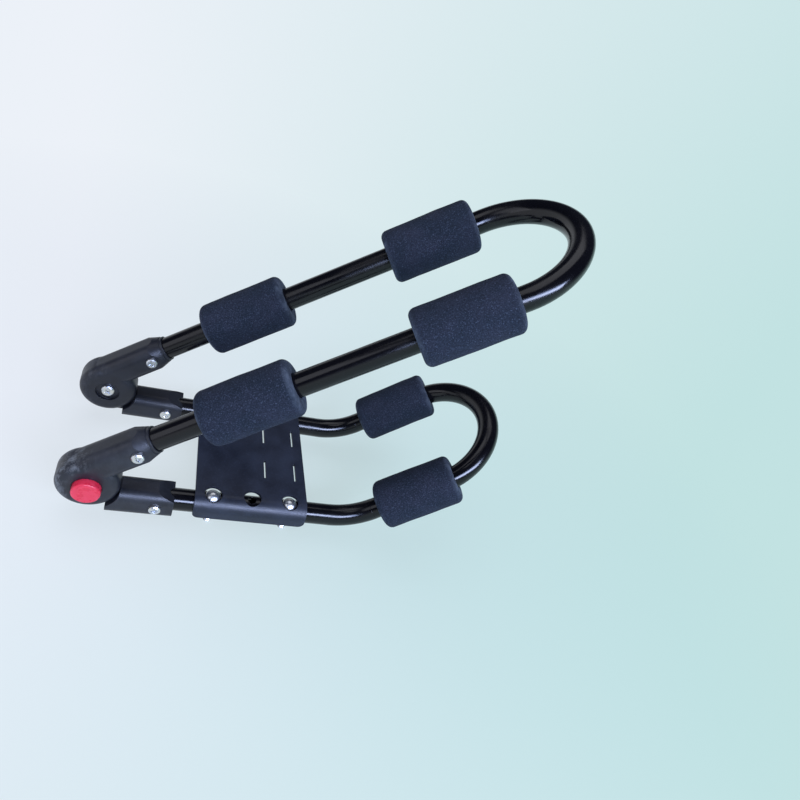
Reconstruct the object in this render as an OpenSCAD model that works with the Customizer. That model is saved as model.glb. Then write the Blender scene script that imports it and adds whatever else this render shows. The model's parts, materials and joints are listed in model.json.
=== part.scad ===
// Folding J-bar kayak roof rack: two bent tube frames on a push-button hinge.
// +X runs from the hinge to the bent end, +Z is up, and -Y is the rack's right side.
// The origin is the middle of the face that sits on the roof bar.

/* [Tubes] */
// Outside diameter of both tube frames
tube_d = 22; // [20:0.5:24]
// Wall of the tubes
tube_wall = 1.5; // [1:0.1:2.5]
// Distance between the two arms of a frame, middle to middle
arm_spacing = 130; // [116:1:150]

/* [Upper frame] */
// From the hinge pin to the start of the round end
upper_len = 412; // [408:1:440]
// Height of the upper tube's middle over the hinge pin, square to the arm
upper_rise = 12.5; // [11:0.1:13]
// Angle between the two frames as the rack lies folded
fold_angle = 40; // [35:1:45]

/* [Lower frame] */
// From the hinge pin to the start of the bend
lower_len = 235; // [226:1:250]
// Depth of the lower tube's middle under the hinge pin
lower_drop = 19.8; // [19:0.1:21]
// Angle of the bend
bend_angle = 43; // [35:1:48]
// Radius of the bend at the tube's middle
bend_r = 65; // [55:1:75]
// Swelling of the tube's radius in the bend, outside and in the bore
bend_swell = 0.1; // [0.06:0.01:0.2]
// From the bend to the start of the round end
lower_end_len = 80; // [76:1:100]

/* [Hinge housings] */
// Diameter of the round hinge head
head_d = 56; // [55:0.5:58]
// Width of the head across both cheeks
head_w = 29; // [28.5:0.1:31]
// Rounding of the head's rim
head_edge = 8; // [4:0.1:8]
// Wall of the sleeves round the tubes
sleeve_wall = 4; // [3.5:0.1:4.4]
// Rounding of the sleeves' long corners
sleeve_corner = 10; // [6:0.1:12]
// From the pin to the start of the upper sleeve, inside the head
sleeve_root = 4; // [3:0.1:4.5]
// Length of the upper sleeve from the pin to its shoulder
upper_sleeve_len = 74; // [71:0.5:76]
// Length of the sleeve's tapered end
taper_len = 12; // [8:0.5:14]
// Radius of the taper at its start, round the tube
taper_r = 17; // [16.9:0.1:18]
// Height of the shoulder over the collar
shoulder_h = 0.7; // [0.4:0.1:1.2]
// Length of the thin collar past the shoulder
collar_len = 3; // [2:0.5:5]
// Wall of the collar
collar_wall = 1.4; // [1:0.1:2]
// Length of the lower sleeve from the pin
lower_sleeve_len = 77; // [74:0.5:80]
// From the pin to the tip of the lower sleeve under the head
lower_sleeve_start = 16.5; // [14:0.5:20]
// Slope of the lower sleeve's top at its end
sleeve_slope = 20; // [12:0.5:21]
// Length of that slope
slope_len = 15; // [10:0.5:15]
// From the pin to the bottom of the tube sockets
socket_start = 36; // [34:0.5:40]
// Diameter of the tongue between the cheeks
tongue_d = 48; // [46:0.5:50]
// Width of the tongue
tongue_w = 10; // [9:0.1:10.4]
// Thickness of the cheek on the inner side
inner_cheek = 6.1; // [5.5:0.1:6.5]
// Play between the housings
housing_play = 0.4; // [0.3:0.05:0.6]
// Gap between the head's rim and the lower housing's shoulder
shoulder_gap = 0.6; // [0.4:0.05:1]
// Lowest edge of the tongue's neck under the pin
neck_low = 27; // [25:0.5:28]
// Highest edge of the tongue's neck under the pin
neck_high = 7; // [6:0.5:10]
// Start of the tongue's neck along the lower arm
neck_start = 8; // [7:0.5:12]

/* [Hinge travel] */
// Closing travel from the folded place shown
close_travel = 15; // [5:1:15]
// Opening travel from the folded place shown
open_travel = 75; // [60:1:75]
// Spare angle past each end of the travel
travel_spare = 2; // [1:0.5:3]

/* [Button and lock] */
// Diameter of the push button
button_d = 25; // [24:0.5:26]
// Height of the button over the head's face
button_proud = 7; // [5:0.5:9]
// Travel of the button
button_travel = 3.5; // [3:0.1:3.5]
// Depth of the button's seat in the head
button_seat = 5.5; // [5:0.1:6]
// Thickness of the button's top
button_top = 1.8; // [1.2:0.1:2.4]
// Thickness of the button's skirt
button_skirt = 1.6; // [1.2:0.1:2]
// Rounding of the button's rim
button_edge = 1.4; // [0.6:0.1:1.6]
// Distance of the button's legs from the pin
leg_place = 9.6; // [9.4:0.1:9.8]
// Diameter of the button's legs
leg_d = 2.8; // [2.2:0.1:3]
// Number of the button's legs
legs = 3; // [2:1:4]
// Thickness of the web under the button
lock_web = 3; // [2.5:0.1:3.2]
// Teeth of the lock gear
teeth = 24; // [18:1:24]
// Diameter of the lock gear over its teeth
gear_d = 22; // [21:0.1:22.4]
// Depth of the lock gear's teeth
tooth_depth = 1.6; // [1.2:0.1:1.8]
// Width of the lock gear
gear_w = 6.6; // [6:0.1:6.8]
// Play round the lock gear
gear_play = 0.3; // [0.25:0.05:0.4]
// Diameter of the button spring
spring_d = 15.6; // [15:0.1:16]
// Wire of the button spring
spring_wire = 1.2; // [0.8:0.1:1.4]
// Rings of the button spring
spring_rings = 3; // [2:1:3]
// Depth of the spring's seat in the gear
spring_seat = 4.6; // [4:0.1:5]

/* [Hinge pin] */
// Diameter of the pin's barrel
barrel_d = 10; // [9:0.1:10.5]
// Diameter of the barrel's flange
flange_d = 13.6; // [12:0.1:14]
// Thickness of the barrel's flange
flange_t = 1.6; // [1:0.1:2]
// Thread diameter of the pin screw
pin_screw_d = 6; // [5:0.1:6.5]
// Head diameter of the pin screw
pin_head_d = 13; // [11:0.1:14]
// Diameter of the round recess for the pin screw
recess_d = 24; // [20:0.5:26]
// Depth of that recess
recess_depth = 3; // [2:0.1:3.2]

/* [Foam pads] */
// Outside diameter of the foam pads
foam_d = 52; // [48:0.5:54]
// Length of the four upper pads
upper_foam_len = 87; // [80:1:90]
// Length of the two lower pads
lower_foam_len = 85; // [75:1:88]
// Rounding of the pads' ends
foam_edge = 6; // [3:0.5:8]
// From the pin to the middle of the first upper pad
first_foam_place = 168.5; // [160:0.5:200]
// From the middle of the second upper pad to the round end
second_foam_gap = 50.5; // [47:0.5:70]
// From the bend to the middle of the lower pad
lower_foam_place = 50.5; // [48:0.5:52]

/* [Mounting bracket] */
// Length of the bracket along the tubes
bracket_len = 112; // [106:1:130]
// From the pin to the middle of the bracket
bracket_place = 151.5; // [146:0.5:156]
// Sheet thickness of the bracket
sheet_t = 3; // [2:0.1:4]
// Gap between the flat seat under the plate and the tubes
seat_gap = 2; // [1:0.5:6]
// Depth of the coined step at the seat's edge
seat_relief = 0.2; // [0.1:0.05:0.4]
// Reach of the bracket's side lips under the tube's middle
lip_drop = 7.5; // [4:0.1:10]
// Rounding of the lips' lower corners
lip_corner = 6; // [3:0.5:7]
// Diameter of the six access holes
access_d = 17.5; // [17:0.1:18.5]
// Distance between neighbouring access holes
hole_pitch = 38.5; // [36:0.5:40]
// Width of the narrow slots in the plate
slot_w = 2; // [1.5:0.1:3]
// Length of those slots
slot_len = 24; // [16:0.5:26]
// Place of the slots from the bracket's middle plane
slot_start = 13; // [10:0.5:16]
// Place of the first slot along the bracket
slot_near = 13.5; // [10:0.5:20]
// Distance between the two slots
slot_pitch = 32; // [28:0.5:34]

/* [Fasteners] */
// Diameter of the mounting bolts
bolt_d = 8; // [7.9:0.1:8.6]
// Diameter of their plain shank, from which the thread is rolled
bolt_shank_d = 7.6; // [7.2:0.05:7.8]
// Length of their thread
thread_len = 15; // [10:0.5:15.5]
// Head diameter of the mounting bolts
bolt_head_d = 15.6; // [13:0.1:16]
// Height of the domed bolt heads over their rim
bolt_head_h = 5.5; // [4.5:0.1:6.5]
// Depth of that rim under the tube's crown
bolt_head_sink = 1.2; // [0.8:0.1:1.6]
// Reach of the bolts under the tube's middle
bolt_reach = 27; // [20:0.5:40]
// Chamfer of the bolts' tips
bolt_tip = 1; // [0.5:0.1:1.5]
// Thread diameter of the sleeve screws
screw_d = 4.8; // [4:0.1:5.5]
// Head diameter of the sleeve screws
screw_head_d = 11; // [9:0.1:12]
// Height of the screw heads
screw_head_h = 3.2; // [2.4:0.1:3.6]
// Length of the sleeve screws under the head
screw_len = 10; // [8:0.5:12]
// From the pin to the sleeve screws
screw_place = 60.5; // [54:0.5:62]
// Chamfer of the screw heads
screw_crown = 1.1; // [0.6:0.1:1.4]
// Width of the cross recess in the screw heads
cross_w = 1.4; // [0.8:0.1:1.8]
// Length of the cross recess
cross_len = 6; // [4:0.1:7]
// Depth of the cross recess
cross_depth = 1.6; // [1:0.1:2]

/* [Clearances] */
// Play of a tube in its sleeve or saddle
tube_fit = 0.1; // [0.05:0.01:0.2]
// Play of the foam on the tube
foam_fit = 0.15; // [0.05:0.01:0.3]
// Running play of the hinge pin
pin_fit = 0.08; // [0.03:0.01:0.1]
// Play of the bolts and screws in their holes
hole_fit = 0.2; // [0.1:0.05:0.4]
// Gap between a bolt head and the tube it sits on
head_fit = 0.05; // [0.02:0.01:0.1]
// Play of the button and its legs
button_fit = 0.4; // [0.3:0.05:0.5]

/* [Hidden] */
$fn = 72;

ENAMEL = "#17171b";
FOAM = "#20283a";
NYLON = "#2b2f38";
RED = "#e2405c";
ZINC = "#c9ccd2";

// Small overlap that keeps cuts open and joins solid
eps = 0.02;
// Length of a straight tube that ends inside the bend
bend_lap = 1;
tube_r = tube_d / 2;
head_r = head_d / 2;
tongue_r = tongue_d / 2;
end_r = arm_spacing / 2;
saddle_r = tube_r + tube_fit;
// Height of the lower tube's middle and of the hinge pin
lower_z = -saddle_r;
pin_x = -bracket_place;
pin_z = lower_z + lower_drop;
sleeve_h = tube_d + 2 * (tube_fit + sleeve_wall);
collar_r = tube_r + tube_fit + collar_wall;
// Half width of the flat seat between the tubes
seat_edge = end_r - tube_r - seat_gap;

// Heights in the hinge, measured outwards from the arm's middle plane
face_v = head_w / 2;
slot_low_v = -face_v + inner_cheek;
tongue_low_v = slot_low_v + housing_play;
tongue_high_v = tongue_low_v + tongue_w;
slot_high_v = tongue_high_v + housing_play;
seat_v = face_v - button_seat;
web_v = seat_v - lock_web;
gear_high_v = web_v - button_fit;
gear_low_v = gear_high_v - gear_w;
pocket_v = gear_low_v - button_travel - gear_play;
recess_v = -face_v + recess_depth;
skirt_v = seat_v + button_travel + gear_play;
button_high_v = face_v + button_proud;
spring_high_v = gear_low_v + spring_seat;
pocket_r = gear_d / 2 + gear_play;

// Half widths of a gear tooth at its root and at its tip, as shares of the pitch
root_share = 0.29;
tip_share = 0.17;

// Arc that the tongue's neck takes up, and the slot that lets it swing
neck_deep = atan2(-neck_low, neck_start);
neck_shallow = asin(-neck_high / head_r);
slot_from = neck_deep - fold_angle - open_travel - travel_spare;
slot_to = neck_shallow - fold_angle + close_travel + travel_spare;
slot_steps = 24;
leg_turn = 30;
// Thickness of the spring's risers as a share of its wire
riser_share = 0.7;
bolt_places = [for (x = [-hole_pitch, hole_pitch], y = [-end_r, end_r]) [x, y]];
hole_places = [for (x = [-hole_pitch, 0, hole_pitch], y = [-end_r, end_r]) [x, y]];

// Places its children, made for the right side, on the side asked for
module on_side(left) {
    if (left) mirror([0, 1, 0]) children();
    else children();
}

// Hinge frame of the right side: x along the arm, y square to it, z outwards
module hinge_frame(turn) {
    translate([pin_x, -end_r, pin_z]) rotate([0, -turn, 0]) rotate([90, 0, 0]) children();
}

// Frame of the upper tubes: x along the arms from the pin, z square to them
module upper_frame() {
    translate([pin_x, 0, pin_z]) rotate([0, -fold_angle, 0]) translate([0, 0, upper_rise]) children();
}

// Frame of the lower tubes along their straight part
module lower_frame() {
    translate([pin_x, 0, lower_z]) children();
}

// Frame of the lower tubes past the bend
module bent_frame() {
    lower_frame() translate([lower_len, 0, bend_r]) rotate([0, -bend_angle, 0])
        translate([0, 0, -bend_r]) children();
}

// Straight rod of radius r along x
module rod(r, from, to) {
    translate([from, 0, 0]) rotate([0, 90, 0]) cylinder(r = r, h = to - from);
}

// Half ring that joins the two arms
module round_end(r) {
    rotate([0, 0, -90]) rotate_extrude(angle = 180) translate([end_r, 0]) circle(r = r);
}

// Solid that follows the upper tube, as thick as asked for
module upper_path(r, from) {
    upper_frame() {
        for (y = [-end_r, end_r]) translate([0, y, 0]) rod(r, from, upper_len);
        translate([upper_len, 0, 0]) round_end(r);
    }
}

// Bend about z that starts under its middle, a little wider than the straights that end in it
module bend_arc(r) {
    rotate([0, 0, -90]) rotate_extrude(angle = bend_angle) translate([bend_r, 0]) circle(r = r + bend_swell);
}

// Solid that follows the lower tube, as thick as asked for
module lower_path(r, from) {
    lower_frame()
        for (y = [-end_r, end_r]) translate([0, y, 0]) {
            rod(r, from, lower_len + bend_lap);
            translate([lower_len, 0, bend_r]) rotate([90, 0, 0]) bend_arc(r);
        }
    bent_frame() {
        for (y = [-end_r, end_r]) translate([0, y, 0]) rod(r, -bend_lap, lower_end_len);
        translate([lower_end_len, 0, 0]) round_end(r);
    }
}

// Holes for the sleeve screws, on both sides of a sleeve at height h over the pin
module screw_holes(h) {
    translate([screw_place, h, 0])
        cylinder(d = screw_d + hole_fit, h = head_w + 2 * eps, center = true);
}

module upper_frame_tube() {
    color(ENAMEL) difference() {
        upper_path(tube_r, socket_start);
        upper_path(tube_r - tube_wall, socket_start - eps);
        for (left = [false, true]) on_side(left) hinge_frame(fold_angle) screw_holes(upper_rise);
    }
}

module lower_frame_tube() {
    color(ENAMEL) difference() {
        lower_path(tube_r, socket_start);
        lower_path(tube_r - tube_wall, socket_start - eps);
        for (left = [false, true]) on_side(left) hinge_frame(0) screw_holes(-lower_drop);
        for (p = hole_places)
            translate([p[0], p[1], lower_z - tube_d]) cylinder(d = bolt_d + 2 * hole_fit, h = 2 * tube_d);
    }
}

// Half of the bracket's bent section, seen along the tubes
module saddle_section() {
    square([end_r, sheet_t]);
    translate([end_r, lower_z]) {
        intersection() {
            difference() {
                circle(r = saddle_r + sheet_t);
                circle(r = saddle_r);
            }
            square(saddle_r + 2 * sheet_t);
        }
        translate([saddle_r, -lip_drop]) square([sheet_t, lip_drop]);
    }
}

// Cutter that rounds the lower corners of the side lips
module lip_corners() {
    reach = arm_spacing + 4 * tube_d;
    for (end = [-1, 1])
        translate([end * bracket_len / 2, 0, lower_z - lip_drop])
            rotate([90, 0, 0]) linear_extrude(height = reach, center = true) difference() {
                translate([-lip_corner, -lip_corner]) square(2 * lip_corner);
                translate([-end * lip_corner, lip_corner]) circle(r = lip_corner);
                translate([-end * 2 * lip_corner - lip_corner, -lip_corner])
                    square([2 * lip_corner, 3 * lip_corner]);
            }
}

module mounting_bracket() {
    color(ENAMEL) difference() {
        rotate([90, 0, 90]) linear_extrude(height = bracket_len, center = true) {
            saddle_section();
            mirror([1, 0]) saddle_section();
        }
        lip_corners();
        for (left = [false, true]) on_side(left)
            translate([-bracket_len, -end_r, -sheet_t])
                cube([2 * bracket_len, end_r - seat_edge, sheet_t + seat_relief]);
        for (p = hole_places)
            translate([p[0], p[1], lower_z]) cylinder(d = access_d, h = saddle_r + 2 * sheet_t);
        for (left = [false, true]) on_side(left)
            for (x = [slot_near, slot_near + slot_pitch])
                translate([x - slot_w / 2, -slot_start - slot_len, -sheet_t])
                    cube([slot_w, slot_len, 3 * sheet_t]);
    }
}

// Domed bolt with its origin on the tube's middle line, its head cut to sit on the round tube
module mounting_bolt() {
    cap_r = bolt_head_d / 2;
    dome_r = (cap_r * cap_r + bolt_head_h * bolt_head_h) / (2 * bolt_head_h);
    rim_z = tube_r - bolt_head_sink;
    translate([0, 0, -bolt_reach]) cylinder(d1 = bolt_d - 2 * bolt_tip, d2 = bolt_d, h = bolt_tip);
    translate([0, 0, bolt_tip - bolt_reach]) cylinder(d = bolt_d, h = thread_len - bolt_tip);
    translate([0, 0, thread_len - bolt_reach - eps])
        cylinder(d = bolt_shank_d, h = bolt_reach - thread_len + tube_r + bolt_tip + eps);
    difference() {
        union() {
            cylinder(r = cap_r, h = rim_z);
            intersection() {
                translate([0, 0, rim_z + bolt_head_h - dome_r]) sphere(r = dome_r);
                translate([0, 0, rim_z]) cylinder(r = cap_r, h = bolt_head_h);
            }
        }
        rod(tube_r + head_fit, -tube_d, tube_d);
    }
}

module mounting_bolts() {
    color(ZINC) for (p = bolt_places) translate([p[0], p[1], lower_z]) mounting_bolt();
}

// Section of a sleeve, with its long corners rounded
module sleeve_section() {
    flat = head_w / 2 - sleeve_corner;
    square([sleeve_h - 2 * sleeve_corner, head_w], center = true);
    square([sleeve_h, head_w - 2 * sleeve_corner], center = true);
    for (y = [-1, 1], z = [-flat, flat])
        translate([y * (sleeve_h / 2 - sleeve_corner), z]) circle(r = sleeve_corner);
}

// Sleeve in the hinge frame, at height h over the pin
module sleeve(h, from, to) {
    translate([from, h, 0]) rotate([90, 0, 90]) linear_extrude(height = to - from) sleeve_section();
}

// Upper sleeve, whose end tapers to a round shoulder and a thin collar
module upper_sleeve() {
    intersection() {
        sleeve(upper_rise, sleeve_root, upper_sleeve_len + taper_len);
        translate([0, upper_rise, 0]) rotate([0, 90, 0]) rotate_extrude() polygon([
            [0, 0], [taper_r, 0], [taper_r, upper_sleeve_len - taper_len],
            [collar_r + shoulder_h, upper_sleeve_len], [0, upper_sleeve_len]
        ]);
    }
    translate([0, upper_rise, 0]) rod(collar_r, head_r, upper_sleeve_len + collar_len);
}

// Round head with a rounded rim
module head_drum() {
    rotate_extrude() {
        translate([0, -head_w / 2]) square([head_r - head_edge, head_w]);
        translate([0, head_edge - head_w / 2]) square([head_r, head_w - 2 * head_edge]);
        for (z = [-1, 1])
            translate([head_r - head_edge, z * (head_w / 2 - head_edge)]) circle(r = head_edge);
    }
}

// Points of a toothed wheel, each tooth and gap widened by the play
function gear_points(play) = [
    for (i = [0 : teeth - 1])
        let (pitch = 360 / teeth,
             root = gear_d / 2 - tooth_depth + play,
             tip = gear_d / 2 + play,
             root_half = pitch * root_share + play / root * 180 / PI,
             tip_half = pitch * tip_share + play / tip * 180 / PI)
        for (c = [[root, -root_half], [tip, -tip_half], [tip, tip_half], [root, root_half]])
            [c[0] * cos(i * pitch + c[1]), c[0] * sin(i * pitch + c[1])]
];

// Legs of the button, or the holes that guide them
module button_legs(d, from, to) {
    for (i = [0 : legs - 1])
        rotate([0, 0, leg_turn + i * 360 / legs]) translate([leg_place, 0, from])
            cylinder(d = d, h = to - from);
}

// Gap between the cheeks: a disc for the tongue and a sector for its neck
module tongue_slot() {
    span = slot_to - slot_from;
    reach = 2 * head_r;
    translate([0, 0, slot_low_v]) linear_extrude(height = slot_high_v - slot_low_v) {
        circle(r = tongue_r + housing_play);
        polygon(concat([[0, 0]], [
            for (i = [0 : slot_steps])
                let (a = slot_from + span * i / slot_steps) [reach * cos(a), reach * sin(a)]
        ]));
    }
}

module upper_housing() {
    difference() {
        union() {
            head_drum();
            upper_sleeve();
        }
        tongue_slot();
        translate([0, upper_rise, 0])
            rod(tube_r + tube_fit, socket_start, upper_sleeve_len + collar_len + eps);
        screw_holes(upper_rise);
        translate([0, 0, -head_w]) cylinder(d = barrel_d + 2 * pin_fit, h = 2 * head_w);
        translate([0, 0, -face_v - eps]) cylinder(d = recess_d, h = recess_depth + eps);
        translate([0, 0, seat_v]) cylinder(d = button_d + 2 * button_fit, h = button_seat + eps);
        button_legs(leg_d + 2 * button_fit, slot_low_v, face_v);
        translate([0, 0, slot_high_v - eps]) linear_extrude(height = web_v - slot_high_v + eps)
            polygon(gear_points(gear_play));
    }
}

module lower_housing() {
    top = sleeve_h / 2 - lower_drop;
    difference() {
        union() {
            difference() {
                sleeve(-lower_drop, lower_sleeve_start, lower_sleeve_len);
                cylinder(r = head_r + shoulder_gap, h = 2 * head_w, center = true);
            }
            translate([0, 0, tongue_low_v]) cylinder(r = tongue_r, h = tongue_w);
            translate([neck_start, -neck_low, tongue_low_v])
                cube([socket_start - neck_start, neck_low - neck_high, tongue_w]);
        }
        translate([0, 0, pocket_v]) cylinder(r = pocket_r, h = head_w);
        cylinder(d = barrel_d + 2 * pin_fit, h = 2 * head_w, center = true);
        translate([0, -lower_drop, 0]) rod(tube_r + tube_fit, socket_start, lower_sleeve_len + eps);
        screw_holes(-lower_drop);
        translate([lower_sleeve_len - slope_len, top, -head_w]) rotate([0, 0, -sleeve_slope])
            cube([2 * slope_len, sleeve_h, 2 * head_w]);
    }
}

module right_upper_housing() {
    color(NYLON) hinge_frame(fold_angle) upper_housing();
}

module left_upper_housing() {
    color(NYLON) on_side(true) hinge_frame(fold_angle) upper_housing();
}

module right_lower_housing() {
    color(NYLON) hinge_frame(0) lower_housing();
}

module left_lower_housing() {
    color(NYLON) on_side(true) hinge_frame(0) lower_housing();
}

// Pan-head screw along z with its seat at z = 0
module pan_screw(head_d, head_h, shank_d, shank_len) {
    difference() {
        union() {
            cylinder(d = head_d, h = head_h - screw_crown);
            translate([0, 0, head_h - screw_crown])
                cylinder(d1 = head_d, d2 = head_d - 2 * screw_crown, h = screw_crown);
        }
        for (turn = [0, 90])
            rotate([0, 0, turn]) translate([-cross_len / 2, -cross_w / 2, head_h - cross_depth])
                cube([cross_len, cross_w, 2 * cross_depth]);
    }
    translate([0, 0, -shank_len]) cylinder(d = shank_d, h = shank_len + eps);
}

// The two screws of a sleeve, one in each side face
module sleeve_screws(h) {
    for (turn = [0, 180])
        translate([screw_place, h, 0]) rotate([turn, 0, 0]) translate([0, 0, face_v])
            pan_screw(screw_head_d, screw_head_h, screw_d, screw_len);
}

module upper_housing_screws() {
    color(ZINC) for (left = [false, true])
        on_side(left) hinge_frame(fold_angle) sleeve_screws(upper_rise);
}

module lower_housing_screws() {
    color(ZINC) for (left = [false, true]) on_side(left) hinge_frame(0) sleeve_screws(-lower_drop);
}

// Barrel that the tongue turns on, with its flange on the web under the button
module pin_barrel() {
    difference() {
        union() {
            translate([0, 0, recess_v + pin_fit])
                cylinder(d = barrel_d, h = seat_v - recess_v - pin_fit + eps);
            translate([0, 0, seat_v]) cylinder(d = flange_d, h = flange_t);
        }
        translate([0, 0, recess_v]) cylinder(d = pin_screw_d + 2 * pin_fit, h = web_v - recess_v);
    }
}

// Screw that closes the hinge from the inner side
module pin_screw() {
    translate([0, 0, recess_v]) rotate([180, 0, 0])
        pan_screw(pin_head_d, recess_depth + hole_fit, pin_screw_d, web_v - recess_v - pin_screw_d / 2);
}

module right_pin_barrel() {
    color(ZINC) hinge_frame(fold_angle) pin_barrel();
}

module left_pin_barrel() {
    color(ZINC) on_side(true) hinge_frame(fold_angle) pin_barrel();
}

module right_pin_screw() {
    color(ZINC) hinge_frame(fold_angle) pin_screw();
}

module left_pin_screw() {
    color(ZINC) on_side(true) hinge_frame(fold_angle) pin_screw();
}

// Push button: a hollow cap with legs that reach the lock gear
module push_button() {
    button_r = button_d / 2;
    rotate_extrude() difference() {
        union() {
            translate([0, skirt_v]) square([button_r, button_high_v - button_edge - skirt_v]);
            translate([0, skirt_v]) square([button_r - button_edge, button_high_v - skirt_v]);
            translate([button_r - button_edge, button_high_v - button_edge]) circle(r = button_edge);
        }
        translate([-eps, skirt_v - eps])
            square([button_r - button_skirt + eps, button_high_v - button_top - skirt_v + eps]);
    }
    button_legs(leg_d, gear_high_v, button_high_v - button_top + eps);
}

module right_button() {
    color(RED) hinge_frame(fold_angle) push_button();
}

module left_button() {
    color(RED) on_side(true) hinge_frame(fold_angle) push_button();
}

// Toothed wheel that locks the upper housing, with a seat for the spring
module lock_gear() {
    difference() {
        translate([0, 0, gear_low_v]) linear_extrude(height = gear_w) polygon(gear_points(0));
        translate([0, 0, gear_low_v - eps]) cylinder(d = barrel_d + 2 * pin_fit, h = gear_w + 2 * eps);
        translate([0, 0, gear_low_v - eps]) cylinder(d = spring_d + hole_fit, h = spring_seat + eps);
    }
}

module right_lock_gear() {
    color(ZINC) hinge_frame(fold_angle) lock_gear();
}

module left_lock_gear() {
    color(ZINC) on_side(true) hinge_frame(fold_angle) lock_gear();
}

// Button spring as a stack of rings joined by short risers
module button_spring() {
    ring_r = (spring_d - spring_wire) / 2;
    low = pocket_v + gear_play + spring_wire / 2;
    step = (spring_high_v - pocket_v - 2 * gear_play - spring_wire) / (spring_rings - 1);
    for (i = [0 : spring_rings - 1])
        translate([0, 0, low + i * step]) rotate_extrude() translate([ring_r, 0])
            circle(d = spring_wire);
    for (i = [0 : spring_rings - 2])
        rotate([0, 0, i * 180]) translate([ring_r, 0, low + i * step])
            cylinder(d = spring_wire * riser_share, h = step);
}

module right_button_spring() {
    color(ZINC) hinge_frame(fold_angle) button_spring();
}

module left_button_spring() {
    color(ZINC) on_side(true) hinge_frame(fold_angle) button_spring();
}

// Foam tube round x, with rounded ends and no bore yet
module foam_pad(middle, length) {
    foam_r = foam_d / 2;
    translate([middle - length / 2, 0, 0]) rotate([0, 90, 0]) rotate_extrude() {
        translate([0, foam_edge]) square([foam_r, length - 2 * foam_edge]);
        square([foam_r - foam_edge, length]);
        for (z = [foam_edge, length - foam_edge])
            translate([foam_r - foam_edge, z]) circle(r = foam_edge);
    }
}

module upper_foam(place) {
    color(FOAM) upper_frame() translate([0, -end_r, 0]) difference() {
        foam_pad(place, upper_foam_len);
        rod(tube_r + foam_fit, 0, upper_len);
    }
}

// The lower pads run on to the round end, so their bore follows the tube
module lower_foam() {
    color(FOAM) difference() {
        bent_frame() translate([0, -end_r, 0]) foam_pad(lower_foam_place, lower_foam_len);
        lower_path(tube_r + foam_fit, socket_start);
    }
}

module right_lower_foam() {
    lower_foam();
}

module left_lower_foam() {
    on_side(true) lower_foam();
}

module right_first_foam() {
    upper_foam(first_foam_place);
}

module left_first_foam() {
    on_side(true) upper_foam(first_foam_place);
}

module right_second_foam() {
    upper_foam(upper_len - second_foam_gap);
}

module left_second_foam() {
    on_side(true) upper_foam(upper_len - second_foam_gap);
}

lower_frame_tube();
mounting_bracket();
mounting_bolts();
right_lower_housing();
left_lower_housing();
lower_housing_screws();
right_lower_foam();
left_lower_foam();
upper_frame_tube();
right_upper_housing();
left_upper_housing();
upper_housing_screws();
right_first_foam();
right_second_foam();
left_first_foam();
left_second_foam();
right_pin_barrel();
left_pin_barrel();
right_pin_screw();
left_pin_screw();
right_button();
left_button();
right_lock_gear();
left_lock_gear();
right_button_spring();
left_button_spring();
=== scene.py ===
# %% [markdown]
# # A folding kayak roof rack
# The rack is two bent steel tubes that fold together on a push-button hinge. Foam pads keep the
# kayak off the steel, and a sheet bracket bolts the lower tube to a roof bar.
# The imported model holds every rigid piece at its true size. This lesson loads it as a fixed frame,
# gives each surface the finish it has on the real rack, and models the soft pads and the threaded
# bolts anew.

# %% Load the frame
import json
import math

import bmesh
import bpy
from mathutils import Matrix, Vector


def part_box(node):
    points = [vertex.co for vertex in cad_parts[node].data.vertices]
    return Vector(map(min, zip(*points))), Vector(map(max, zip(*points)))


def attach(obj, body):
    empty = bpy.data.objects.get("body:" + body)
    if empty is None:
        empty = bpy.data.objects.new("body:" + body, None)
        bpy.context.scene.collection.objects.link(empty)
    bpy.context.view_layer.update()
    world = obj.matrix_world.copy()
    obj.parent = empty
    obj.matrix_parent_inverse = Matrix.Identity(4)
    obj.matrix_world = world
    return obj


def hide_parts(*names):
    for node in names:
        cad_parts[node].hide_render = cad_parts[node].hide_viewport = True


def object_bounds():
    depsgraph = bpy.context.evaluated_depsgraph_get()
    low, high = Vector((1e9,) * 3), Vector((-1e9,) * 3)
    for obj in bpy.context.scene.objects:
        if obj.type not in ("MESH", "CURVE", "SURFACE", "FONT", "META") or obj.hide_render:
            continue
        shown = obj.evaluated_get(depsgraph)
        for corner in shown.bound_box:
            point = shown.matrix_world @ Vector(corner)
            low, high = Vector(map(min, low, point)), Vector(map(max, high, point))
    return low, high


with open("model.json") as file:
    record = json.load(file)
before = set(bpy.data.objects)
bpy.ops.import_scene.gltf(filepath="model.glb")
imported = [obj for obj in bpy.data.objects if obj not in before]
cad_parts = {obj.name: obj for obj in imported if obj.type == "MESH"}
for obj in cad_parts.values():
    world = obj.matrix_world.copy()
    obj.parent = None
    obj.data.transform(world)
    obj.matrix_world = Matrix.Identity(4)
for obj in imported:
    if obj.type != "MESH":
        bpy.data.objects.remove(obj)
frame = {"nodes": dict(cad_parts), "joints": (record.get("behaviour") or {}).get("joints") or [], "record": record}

cad_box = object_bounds()
bpy.ops.object.select_all(action="DESELECT")
print("Nodes in the frame:", len(frame["nodes"]))

# %% [markdown]
# Blender works in metres and the rack is drawn in millimetres, so one value turns one into the
# other. The place of the hinge pin is read from the frame. It could be typed in as three numbers,
# but then it would be wrong as soon as the model changed. The two angles are the model's fold and
# the bend of its lower tube, and the pads lie along them.

# %% Units and places
MM = 0.001
joints = {joint["name"]: joint for joint in frame["joints"]}
PIN = Vector(joints["fold"]["pos_m"])
FOLD_ANGLE = math.radians(40)
BEND_ANGLE = math.radians(43)
UPPER_ARM = Vector((math.cos(FOLD_ANGLE), 0, math.sin(FOLD_ANGLE)))
LOWER_END = Vector((math.cos(BEND_ANGLE), 0, math.sin(BEND_ANGLE)))
print("The hinge pin crosses the middle plane at", [round(c / MM, 1) for c in PIN], "mm")

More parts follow.
